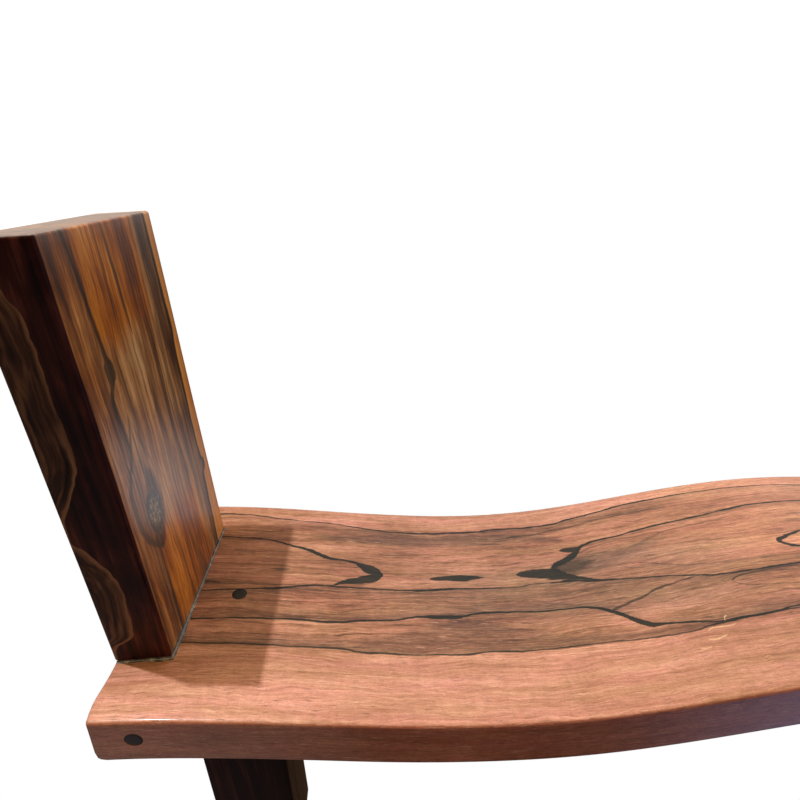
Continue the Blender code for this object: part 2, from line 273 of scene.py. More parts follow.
class Graph:
    """The nodes of one material or of the world. What goes into a node is a number, a colour or a Value."""

    def __init__(self, name="", tree=None):
        self.tree = tree
        if not tree:
            self.material = bpy.data.materials.new(name)
            self.material.use_nodes = True
            self.tree = self.material.node_tree
            self.shader = self.tree.nodes["Principled BSDF"]

    def node(self, kind):
        return self.tree.nodes.new("ShaderNode" + kind)

    def put(self, socket, value):
        if isinstance(value, Value):
            self.tree.links.new(value.socket, socket)
        elif isinstance(value, tuple):
            socket.default_value = (*value, 1)
        else:
            socket.default_value = value

    def set(self, name, value):
        self.put(self.shader.inputs[name], value)

    def finish(self, colour, rough, normal, specular=0.5, coat=0.0, coat_rough=0.03):
        for name, value in (("Base Color", colour), ("Roughness", rough), ("Normal", normal),
                            ("Specular IOR Level", specular), ("Coat Weight", coat),
                            ("Coat Roughness", coat_rough)):
            self.set(name, value)
        return self.material

    def math(self, operation, *values):
        node = self.node("Math")
        node.operation = operation
        for socket, value in zip(node.inputs, values):
            self.put(socket, value)
        return Value(self, node.outputs[0])

    def mix(self, factor, a, b, blend="MIX"):
        node = self.node("Mix")
        node.data_type = "RGBA"
        node.blend_type = blend
        self.put(node.inputs["Factor"], factor)
        self.put(node.inputs[6], a)
        self.put(node.inputs[7], b)
        return Value(self, node.outputs[2])

    def tint(self, wood, colour, factor=1.0):
        return self.mix(factor, wood, colour, blend="MULTIPLY")

    def coordinates(self, kind):
        return Value(self, self.node("TexCoord").outputs[kind])

    def object_point(self):
        return self.coordinates("Object")

    def split(self, vector):
        node = self.node("SeparateXYZ")
        self.put(node.inputs[0], vector)
        return [Value(self, output) for output in node.outputs]

    def join(self, *values):
        node = self.node("CombineXYZ")
        for socket, value in zip(node.inputs, values):
            self.put(socket, value)
        return Value(self, node.outputs[0])

    def noise(self, vector, scale=1.0, detail=3.0, roughness=0.5, distortion=0.0):
        node = self.node("TexNoise")
        for name, value in (("Vector", vector), ("Scale", scale), ("Detail", detail),
                            ("Roughness", roughness), ("Distortion", distortion)):
            self.put(node.inputs[name], value)
        return Value(self, node.outputs[0])

    def grain(self, x, y, z):
        """Noise over a point, as a function of each axis's own scale, a shift and the noise's settings."""
        def noise_at(scales, shift=0.0, **settings):
            point = self.join(x * scales[0] + shift, y * scales[1] + shift, z * scales[2])
            return self.noise(point, **settings)
        return noise_at

    def bump(self, height, strength, distance, normal=None):
        node = self.node("Bump")
        node.inputs["Strength"].default_value = strength
        node.inputs["Distance"].default_value = distance
        self.put(node.inputs["Height"], height)
        if normal:
            self.put(node.inputs["Normal"], normal)
        return Value(self, node.outputs[0])


class Veins:
    """Dark vein lines that run roughly along the grain, each a curve of place and width."""

    def __init__(self, along, across, feather):
        self.along = along
        self.across = across
        self.feather = feather
        self.ink = 0.0
        self.shade = 0.0

    def track(self, points):
        """How far a point of the wood is from the line, and the line's width beside it."""
        centre = self.along.curve([(a, place) for a, place, _ in points])
        width = self.along.curve([(a, size) for a, _, size in points])
        return self.across - centre, width

    def line(self, points, strength=1.0, soft=0.35, side=0, reach=0.0, shade=0.0):
        """points are (along, across, width). A line shades the wood on one side, out to reach."""
        offset, width = self.track(points)
        ragged = self.feather * (width * 0.09 + 0.6) + abs(offset)
        present = width.fit(0.05, 0.5, 0.0, strength)
        core = (ragged - width * 0.5).fit(soft, -soft) * present
        self.ink = core.most(self.ink)
        if side:
            away = offset * side
            halo = away.fit(0.0, reach, shade, 0.0) * away.fit(-1.5, 0.0) * present
            self.shade = halo.most(self.shade)

    def smudge(self, points, strength, soft):
        """A soft dark patch with no hard line in it."""
        offset, width = self.track(points)
        inside = self.feather * 1.6 + abs(offset) - width * 0.5
        patch = inside.fit(soft, -soft) * width.fit(0.0, 3.0, 0.0, strength)
        self.shade = patch.most(self.shade)

    def draw(self, lines, smudges):
        for settings, points in lines.values():
            self.line(points, **settings)
        for (strength, soft), points in smudges.values():
            self.smudge(points, strength, soft)


# ---------------------------------------------------------------- the plank's wood
# Vein lines: how each is drawn, then its points in millimetres, each (from the left end, from
# the front edge, width).
PLANK_VEINS = {
    "rear line": (dict(side=-1, reach=16, shade=0.55), [(0, 236, 1.6), (40, 235, 1.7), (75, 232.5, 1.8),
     (110, 228, 1.6), (150, 226, 1.6), (200, 219, 1.8), (248, 216.1, 2.3), (282, 217.7, 2.6),
     (310, 217.7, 2.6), (328, 220, 2.3), (371, 218.6, 2.2), (412, 223, 2.2), (450, 228, 2.1),
     (510, 233, 1.9), (610, 233.5, 1.4), (680, 230.5, 1.5), (770, 226, 1.6), (860, 229, 1.8),
     (960, 222, 2), (1080, 216, 1.6), (1180, 221, 1.6), (1250, 224, 1.6)]),
    "rear second": (dict(strength=0.65, soft=1.2, side=1, reach=13, shade=0.6), [(338, 204, 0),
     (350, 206, 3), (366, 206, 2), (389, 208.2, 1.5), (412, 210.5, 1.4), (450, 215.5, 1.2),
     (500, 217, 0.8), (530, 218, 0)]),
    "tongue upper": (dict(side=-1, reach=6, shade=0.3), [(0, 197.5, 1.5), (44, 196.3, 1.6),
     (75, 195.6, 1.8), (88, 194, 2), (100, 191.5, 2.4), (111, 187.7, 2.6), (123, 184.4, 2.8),
     (132, 181, 4.2), (140, 176.8, 5.2), (148, 172.8, 4.8), (157, 170, 2.8), (167, 168.5, 2.4),
     (176, 167, 3.6), (183, 162.5, 7), (190, 158, 12), (197, 155.5, 13), (201, 154, 10), (204, 152, 4),
     (206, 151.5, 0)]),
    "tongue lower": (dict(soft=0.6), [(146, 133.5, 0), (152, 133.8, 1.4), (159, 135, 2.4), (166, 138, 5),
     (173, 140.4, 7.8), (182, 141.8, 9.2), (190, 144.5, 12), (197, 147, 12.5), (201.5, 148.5, 9),
     (204, 150, 4), (206, 150.5, 0)]),
    "tongue dash": (dict(strength=0.75, soft=0.8), [(0, 131.5, 3), (44, 132.5, 4.6), (55, 131.6, 3.4),
     (64, 131.2, 1.5), (85, 131, 1.3), (118, 132, 1.1), (140, 133, 1.3), (154, 133.8, 0)]),
    "middle line": (dict(side=-1, reach=10, shade=0.55), [(0, 121, 1.4), (42, 122.3, 1.4),
     (59, 123.3, 1.5), (78, 124.6, 1.5), (98, 126.2, 1.8), (111, 127.7, 2.4), (123, 130, 2.2),
     (134, 132.3, 2), (148, 133.5, 1.8), (163, 133, 1.5), (194, 132.3, 1.6), (230, 131.6, 2.4),
     (248, 132, 3), (275, 133.6, 2), (310, 133.6, 1.8), (332, 133.2, 1.4), (352, 135.5, 1.4),
     (371, 135, 1.5), (389, 133.6, 2.6), (403, 131, 2.4), (430, 127.5, 1.7), (450, 125, 1.5),
     (475, 121.5, 1.5), (500, 116, 1.8), (520, 112.5, 2), (550, 112, 1.8), (590, 113, 1.6),
     (680, 114, 1.6), (780, 120, 1.8), (880, 131, 2), (960, 140, 2.4), (1020, 150, 4.5), (1046, 155, 7),
     (1060, 157, 0)]),
    "middle echo": (dict(strength=0.45, soft=0.9), [(118, 126.5, 0), (128, 127, 1.6), (155, 126.6, 1.5),
     (230, 128.2, 2.2), (262, 129, 1.2), (285, 130, 0)]),
    "middle upper": (dict(strength=0.45, soft=1.0, side=-1, reach=13, shade=0.55), [(455, 145, 0),
     (465, 141.5, 1.2), (480, 136, 1.4), (500, 130, 1.4), (525, 127, 1.4), (560, 125.6, 1.4),
     (620, 123.5, 1.2), (700, 124, 1.1), (760, 130, 0)]),
    "spindle": (dict(soft=0.5), [(250, 147.6, 0), (253, 147.6, 3.2), (260, 147.7, 5.2), (272, 148, 7.2),
     (285, 148.3, 8), (292, 148.5, 6.6), (298, 148.6, 3.6), (305, 148.8, 0)]),
    "second fill": (dict(soft=0.9), [(336, 149.5, 0), (339, 149.5, 4), (343, 149.3, 7.5),
     (350, 148.8, 10), (360, 147.6, 12.5), (370, 146.2, 15), (377, 145.2, 16.5), (382, 142.8, 13),
     (387, 140.2, 9), (393, 137.5, 6.5), (400, 134.8, 4.5), (408, 131.8, 3), (416, 129.8, 0)]),
    "second arm": (dict(side=-1, reach=8, shade=0.55), [(372, 152, 0), (377, 156, 7), (384, 159.5, 8),
     (391, 162.5, 8.5), (398, 166.5, 8.5), (403, 170, 8), (408, 175, 6), (412, 179, 4.2), (418, 181.4, 3),
     (428, 183.4, 2.2), (450, 185.2, 1.9), (475, 189, 1.7), (500, 191, 1.7), (530, 193, 1.7),
     (565, 196.5, 1.9), (590, 200, 1.9), (615, 201.5, 1.7), (655, 202, 1.6), (720, 201, 1.6),
     (800, 196, 1.8), (880, 187, 2.2), (950, 176, 2.4), (1010, 165, 4.5), (1046, 158.5, 7),
     (1062, 156.5, 0)]),
    "second spur": (dict(soft=0.8), [(388.5, 177, 0), (391, 176.6, 4.2), (395, 176.4, 7), (400, 176, 8),
     (405, 176.5, 6), (412, 180, 0)]),
    "second crotch": (dict(strength=0.72, soft=4.5), [(370, 148, 0), (376, 150, 12), (384, 151, 19),
     (392, 152, 20), (400, 153, 17), (410, 155, 9), (420, 157, 0)]),
    "second branch": (dict(strength=0.5, soft=0.9), [(404, 168, 0), (412, 171.8, 2.4), (428, 176.4, 1.6),
     (450, 179, 1.2), (500, 180.5, 1), (545, 184, 1), (580, 187, 0)]),
    "fourth line": (dict(side=1, reach=15, shade=0.55), [(0, 89, 1.6), (44, 90.2, 1.6), (98, 92.1, 1.7),
     (117, 92.5, 1.8), (140, 91.9, 2), (159, 90.8, 2.2), (175, 92.5, 2.4), (194, 95, 2.2),
     (213, 95.8, 1.8), (230, 98.8, 2), (243, 100.2, 3.2), (258, 99.6, 4.6), (271, 99.8, 4),
     (284, 102.5, 2.2), (307, 104, 1.8), (348, 102, 1.8), (384, 101.4, 2), (392, 99.8, 3),
     (401, 96.6, 3.8), (412, 90, 5.2), (421, 82, 6.2), (428, 76.4, 6.6), (437, 72.3, 3.2),
     (450, 70.7, 2.2), (465, 69, 1.9), (485, 65.4, 1.9), (500, 64.5, 2.2), (525, 65, 2), (556, 68.5, 1.7),
     (640, 72, 1.5), (740, 70, 1.6), (860, 76, 1.8), (980, 84, 2.2), (1080, 90, 1.8), (1170, 93, 1.6),
     (1250, 92, 1.6)]),
    "fourth upper": (dict(strength=0.5, soft=1.0), [(340, 111, 0), (348, 110.3, 1.6), (362, 109.3, 2),
     (375, 106.4, 1.6), (388, 102.5, 0)]),
    "fourth branch": (dict(strength=0.8, soft=0.6), [(408, 93, 0), (413, 94.8, 3), (423, 98, 2.8),
     (439, 102.5, 2.6), (450, 107, 2.4), (460, 110, 2.4), (480, 113.5, 2.2), (498, 116, 0)]),
    "front line": (dict(strength=0.9, side=1, reach=18, shade=0.75), [(0, 66, 1.2), (44, 65.6, 1.3),
     (98, 65.6, 1.3), (140, 64.2, 1.4), (163, 64.6, 1.6), (175, 63.6, 1.9), (184, 61.7, 1.9),
     (204, 61.1, 1.4), (230, 60.4, 1.3), (262, 60.5, 1.6), (275, 60.5, 2.8), (281, 61.2, 1.6),
     (298, 62.7, 1.9), (321, 61.6, 1.5), (378, 62.3, 1.2), (423, 60.5, 1.1), (450, 60, 1.2),
     (475, 62, 1.3), (500, 64.5, 1.5), (560, 66, 0.8), (620, 66, 0), (700, 66, 0), (760, 66, 1),
     (860, 58, 1.4), (980, 52, 1.6), (1100, 50, 1.5), (1250, 47, 1.4)]),
    "eye upper": (dict(side=-1, reach=6, shade=0.3), [(590, 143, 0), (593, 144.5, 5), (599, 147, 4.5),
     (610, 151, 2.6), (625, 154.5, 1.8), (650, 157, 1.6), (680, 155, 1.8), (700, 149, 2.4), (710, 144, 0)]),
    "eye lower": (dict(), [(590, 142.5, 0), (594, 140, 5), (600, 136, 4.5), (612, 132.6, 2.2),
     (630, 130.4, 1.6), (655, 130, 1.5), (684, 133.5, 1.8), (702, 139, 2.2), (711, 143.5, 0)]),
    "loop line": (dict(strength=0.7), [(521, 103, 0), (526, 106, 1.6), (536, 108.5, 1.4), (560, 110, 1.1),
     (590, 111, 0)]),
    "loop lower": (dict(strength=0.6), [(521, 103, 0), (525, 99.5, 1.6), (531, 97, 1.3), (560, 92, 0.9),
     (585, 89, 0)]),
    "end upper": (dict(side=-1, reach=8, shade=0.3), [(1082, 161, 0), (1086, 162.5, 5), (1096, 168.5, 4),
     (1120, 177, 2.4), (1180, 184, 1.8), (1250, 186, 1.6)]),
    "end lower": (dict(side=-1, reach=8, shade=0.3), [(1082, 159, 0), (1087, 157, 6), (1098, 151, 5),
     (1124, 146, 2.2), (1180, 143, 1.7), (1250, 141, 1.5)]),
    "end spindle": (dict(soft=0.6), [(985, 117, 0), (995, 118, 3.4), (1010, 118.4, 4.6), (1028, 118, 2.4),
     (1040, 117.5, 0)]),
    "short slash": (dict(strength=0.4, soft=0.8), [(282, 90.5, 0), (290, 93, 1.2), (300, 96.5, 1),
     (306, 98.5, 0)]),
    "rear faint": (dict(strength=0.4, soft=0.9), [(200, 185, 0), (230, 183, 0.9), (262, 181, 0.8),
     (290, 179, 0)]),
    "front echo": (dict(strength=0.35, soft=1.2), [(340, 68.5, 0), (360, 68.2, 1.6), (400, 67, 1.4),
     (430, 65.8, 0)]),
}
# Soft dark patches: (strength, softness of the rim), then the same kind of points.
PLANK_SMUDGES = {
    "front wedge": ((0.52, 3.5), [(140, 64, 0), (170, 68, 8), (205, 71, 15), (235, 75, 22), (258, 79, 29),
     (280, 81, 32), (300, 79, 27), (330, 74, 17), (380, 68, 9), (440, 64, 5), (500, 62, 0)]),
    "rear smudge": ((0.7, 4), [(270, 214, 0), (300, 212, 5), (335, 208, 8), (360, 202, 9), (385, 195, 8),
     (400, 190, 0)]),
    "middle smudge": ((0.3, 6), [(190, 118, 0), (220, 120, 8), (260, 124, 11), (300, 123, 12),
     (350, 122, 9), (400, 118, 10), (440, 112, 7), (470, 108, 0)]),
    "wedge smudge": ((0.7, 8), [(372, 150, 0), (384, 151, 16), (400, 154, 26), (425, 156, 24),
     (450, 160, 16), (480, 168, 8), (500, 172, 0)]),
    "tongue smudge": ((1.0, 2.2), [(98, 151, 0), (104, 150.4, 2), (109, 152, 4.5), (114, 152.5, 3),
     (119, 154, 0)]),
    "tongue streak": ((0.8, 1.5), [(56, 178, 0), (62, 177, 2.5), (76, 174.5, 2.5), (82, 173, 0)]),
    "rear streaks": ((0.75, 6), [(130, 204, 0), (175, 202, 9), (240, 203, 17), (300, 204, 17),
     (340, 204, 10), (385, 202, 0)]),
    "swirl outer": ((0.7, 1.6), [(418, 164, 0), (428, 158, 2), (434, 150, 2.6), (444, 141, 2.2),
     (465, 136, 1.8), (490, 132, 0)]),
    "swirl inner": ((1.0, 1.6), [(452, 166, 0), (462, 167, 3.5), (472, 170.5, 4), (482, 174, 2),
     (500, 180, 1.4), (540, 184, 1), (577, 189, 0)]),
}
# Pale scratches in the lacquer.
SCRATCHES = [
    [(468, 51.5, 0), (474, 49.5, 1.1), (481, 50.5, 1), (487, 53, 0)],
    [(472, 57, 0), (480, 60, 1), (492, 59.5, 0.8), (500, 62, 0)],
    [(491, 64, 0), (493, 68, 1.3), (496, 70, 0)],
    [(458, 44, 0), (463, 43, 0.8), (470, 44.5, 0)],
]
# How pale the wood is across the plank: (from the front edge, tone).
PLANK_TONE = [
    (-10, 0.72), (20, 0.72), (48, 0.66), (60, 0.62), (66, 0.47), (80, 0.53), (92, 0.49), (98, 0.4),
    (114, 0.42), (130, 0.44), (140, 0.49), (165, 0.47), (190, 0.45), (216, 0.45), (222, 0.58),
    (236, 0.64), (262, 0.6)]


def wave_in_nodes(x):
    """Height of the plank's top face above the floor."""
    reach = abs(x)
    hump = (WAVE_HUMP - WAVE_DIP) / 2
    crest = (WAVE_CREST - WAVE_DIP) / 2
    near = cosine(reach * (math.pi / DIP_AT)) * hump + (SEAT_Z + WAVE_DIP + hump)
    outer = (reach - DIP_AT) * (math.pi / (CREST_AT - DIP_AT))
    far = cosine(outer) * -crest + (SEAT_Z + WAVE_DIP + crest)
    beyond = x.graph.math("GREATER_THAN", reach, DIP_AT)
    return near + beyond * (far - near)


def cosine(angle):
    return angle.graph.math("COSINE", angle)


def plank_wood():
    g = Graph("plank_rosewood")
    px, py, pz = g.split(g.object_point())
    depth = (wave_in_nodes(px) - pz) * TO_MM
    x = px * TO_MM + HALF_LENGTH * TO_MM
    y = py * TO_MM + HALF_DEPTH * TO_MM + depth * 0.30

    even = g.grain(x, y, depth)
    wander = even((0.01, 0.03, 0.03), detail=2)
    wiggle = even((0.07, 0.1, 0.05), 7.0, detail=2)
    ripple = even((0.018, 0.03, 0.03), detail=1)
    lines_at = y + wander.swing(1.6) + wiggle.swing(1.8)
    streak = g.grain(x, lines_at, depth)((0.035, 0.42, 0.3), 3.0, detail=4, roughness=0.65)
    veins = Veins(x, lines_at, streak.swing(4.6))
    veins.draw(PLANK_VEINS, PLANK_SMUDGES)

    # Tone, 0 dark to 1 pale: broad bands across the plank, clouds, then ever finer streaks.
    warped = y + wander.swing(14.0) + wiggle.swing(3.0)
    figured = g.grain(x, warped, depth)
    cloud = figured((0.008, 0.03, 0.02), 11.0, roughness=0.6)
    bands = figured((0.005, 0.13, 0.1), 5.0, detail=4, roughness=0.7)
    lines = figured((0.011, 0.5, 0.4), 9.0, roughness=0.6)
    slanted = g.grain(y * 0.5 + x, warped, depth)
    fibres = slanted((0.075, 0.85, 0.6), 1.0, roughness=0.65, distortion=0.5)
    figure = cloud.swing(0.72) + bands.swing(0.75) + lines.swing(0.65) + fibres.swing(0.7)
    tone = figure * y.fit(44, 68, 0.72, 1.0) + warped.curve(PLANK_TONE)
    # Painted shade: the front band is darkened towards the right, in place of the key lamp's falloff.
    tone = tone - x.fit(250, 620) * y.fit(75, 45, 0.0, 0.13)
    golden = x.fit(400, 620) * y.fit(72, 120)
    shade = veins.shade * (bands * 1.6 + 0.1)
    dashes = figured((0.02, 0.36, 0.3), 21.0, roughness=0.6).fit(0.54, 0.7)
    dashes = dashes * y.fit(58, 74, 0.3, 1.0) * y.fit(224, 212, 0.3, 1.0)
    tone = tone + golden * 0.12 - shade * 0.34 - dashes * 0.30
    wood = tone.ramp((0.02, (0.08, 0.028, 0.011)), (0.28, (0.19, 0.078, 0.035)),
                     (0.5, (0.34, 0.156, 0.084)), (0.72, (0.5, 0.246, 0.158)),
                     (0.98, (0.74, 0.42, 0.3)))
    olive_zone = x.fit(170, 330) * x.fit(600, 500) * warped.fit(76, 96) * warped.fit(182, 150)
    olive = olive_zone * (cloud * 1.4 - 0.15) + shade * 0.75
    olive_wood = g.mix(tone, (0.075, 0.05, 0.034), (0.44, 0.285, 0.185))
    wood = g.mix(olive.least(1.0) * 0.6, wood, olive_wood)

    hue = figured((0.01, 0.09, 0.08), 33.0)
    wood = g.tint(wood, hue.ramp((0.36, (1.03, 0.94, 1.04)), (0.64, (0.99, 1.01, 0.95))))
    wood = g.tint(wood, (1.1, 1.03, 0.86), golden)
    # The front and rear edge faces are tinted darker and redder: partly the wood's own tone there, partly
    # painted shade, since light falls from above.
    edge_tone_and_shade = abs(py).fit(HALF_DEPTH - 0.0014, HALF_DEPTH - 0.0004)
    wood = g.tint(wood, (0.7, 0.46, 0.32), edge_tone_and_shade * 0.85)

    # Curl across the grain as a painted sheen, grit, pores and glints along it, and the veins on top.
    curl_sheen_at = g.grain(x, x * 0.25 + y, depth)
    curl_sheen = curl_sheen_at((0.11, 0.045, 0.03), 2.0, detail=5, roughness=0.75, distortion=0.8)
    # Painted sheen: the curl lightens and darkens bands across the grain in the colour, in place of the
    # wood's shimmer.
    wood = g.tint(wood, curl_sheen.ramp((0.3, (0.9, 0.88, 0.87)), (0.7, (1.1, 1.1, 1.1))))
    gritty = g.grain(y * 0.9 + x, x * -0.25 + y, depth)
    grit = gritty((0.4, 0.9, 0.6), 6.0, detail=2, roughness=0.7, distortion=1.5)
    wood = g.tint(wood, grit.ramp((0.3, (0.84, 0.82, 0.8)), (0.7, (1.16, 1.16, 1.17))))
    pores = g.grain(y * 0.4 + x, warped, depth)((0.085, 1.2, 0.9), 4.0, detail=2).fit(0.58, 0.7)
    wood = g.mix(pores * 0.5, wood, (0.075, 0.03, 0.014))
    glints = g.grain(y * -0.4 + x, warped, depth)((0.06, 1.00, 0.8), 14.0).fit(0.6, 0.72)
    wood = g.mix(glints * 0.35, wood, (0.8, 0.5, 0.35))
    ink = g.mix(fibres * 0.7, (0.006, 0.011, 0.011), (0.026, 0.031, 0.027))
    wood = g.mix(veins.ink * 0.95, wood, ink)
    scratches = Veins(x, y, grit.swing(3.0))
    for points in SCRATCHES:
        scratches.line(points, strength=0.6, soft=0.5)
    wood = g.mix(scratches.ink, wood, (0.8, 0.56, 0.3))

    surface = g.bump(ripple, 0.35, 0.0012, g.bump(pores * -1.0, 0.25, 0.0001))
    return g.finish(wood, bands * 0.16 + pores * 0.14 + 0.26, surface, specular=veins.ink * -0.20 + 0.3,
                    coat=veins.ink * -0.16 + 0.34, coat_rough=0.12)


# ---------------------------------------------------------------- the posts' wood
# Points of a post's veins, in millimetres: (above its foot, from its front face, width).
SAP_LINE = [
    (0, 134.5, 4), (30, 136.5, 4), (52, 138, 4), (80, 140.5, 4.2), (90, 146.5, 4.6), (95, 143.5, 4.4),
    (104, 141.5, 4.2), (122, 141, 4), (162, 142, 4.2), (198, 143, 4.2), (212, 144.5, 4.6),
    (226, 146.5, 5), (242, 145.5, 4.4), (262, 145, 4.2), (317, 144.5, 4.2)]
POST_VEINS = {
    "vein": (dict(strength=0.95, soft=0.8, side=1, reach=5, shade=0.3), [(0, 27, 2.5), (40, 29, 3),
     (78, 30, 2), (86, 30, 2), (100, 28, 0), (150, 24, 0), (158, 26, 2), (170, 28.5, 2.8), (185, 28, 3.4),
     (200, 26.5, 4.2), (210, 28.5, 5), (217, 32, 7), (224, 34.5, 12), (231, 34, 10), (236, 33.5, 5),
     (250, 32.5, 4), (268, 31, 3.6), (290, 29, 3.2), (317, 26, 3)]),
    "streak a": (dict(strength=0.8, soft=1.0), [(236, 77, 0), (250, 77, 3), (275, 76, 4.2), (300, 74, 4),
     (317, 73, 3.6)]),
    "streak b": (dict(strength=0.6, soft=1.0), [(240, 57, 0), (262, 60.5, 1.8), (290, 62, 2.6),
     (317, 63, 2.4)]),
    "streak c": (dict(strength=0.7, soft=1.2), [(0, 62, 3), (30, 61, 3.4), (60, 60, 3), (96, 58, 1.8),
     (130, 58, 0)]),
    "streak d": (dict(strength=0.6, soft=2.6), [(0, 90, 17), (14, 90, 14), (30, 87, 8), (60, 84, 3),
     (90, 84, 0)]),
    "streak e": (dict(strength=0.65, soft=2.4), [(20, 121, 0), (60, 120, 3), (90, 120, 4), (130, 119, 5),
     (170, 118, 5), (220, 120, 5), (250, 124, 0)]),
    "streak f": (dict(strength=0.55, soft=2.6), [(236, 95, 0), (256, 96, 4), (285, 96, 5.5), (317, 95, 6)]),
    "streak h": (dict(strength=0.6, soft=1.5), [(140, 102, 0), (160, 102, 2.4), (200, 103, 3),
     (230, 102, 2), (245, 101, 0)]),
    "sapwood's edge": (dict(strength=1.0, soft=0.7, side=-1, reach=12, shade=0.6), SAP_LINE),
}
POST_SMUDGES = {
    "streak g": ((0.4, 6), [(205, 128, 0), (232, 130, 9), (262, 131, 13), (317, 131, 11)]),
}
# The eye, on the left post only.
EYE_VEINS = {
    "eye left": (dict(strength=0.85, soft=1.4), [(79, 36, 0), (81, 34, 5), (86, 29.5, 6), (93, 23, 6),
     (103, 17, 6), (118, 13, 6), (136, 13, 5.5), (150, 18.5, 5), (162, 27, 4), (174, 33, 3), (186, 38, 2),
     (192, 39.5, 0)]),
    "eye right": (dict(strength=0.5, soft=1.8), [(79, 36, 0), (82, 39, 4), (90, 44, 4), (100, 49, 4),
     (112, 53.5, 3.5), (128, 55.5, 3), (142, 54.5, 3), (156, 50, 2.6), (170, 45, 2), (184, 41, 1.6),
     (192, 39.5, 0)]),
}
EYE_SMUDGES = {
    "eye shadow": ((1.0, 4), [(80, 36, 0), (86, 36, 12), (100, 40, 18), (125, 43, 18), (140, 42, 12),
     (152, 38, 7), (172, 38, 3), (186, 38, 0)]),
}
# How pale the wood is across the post's inner face: (from its front face, tone).
POST_TONE = [
    (0, 0.44), (14, 0.5), (24, 0.46), (34, 0.58), (48, 0.66), (70, 0.6), (90, 0.54), (104, 0.46),
    (114, 0.6), (124, 0.54), (134, 0.46), (146, 0.56), (159, 0.62)]
# The edge of the brown figure on the front face: (above the foot, from the outer face).
FRONT_FIGURE = [
    (0, 3), (10, 4), (22, 16), (30, 22), (52, 24), (70, 25), (84, 22), (96, 16), (110, 8), (118, 2),
    (130, 3), (138, 6), (152, 14), (166, 20), (186, 25), (210, 24), (242, 25), (270, 24), (286, 18),
    (317, 10)]


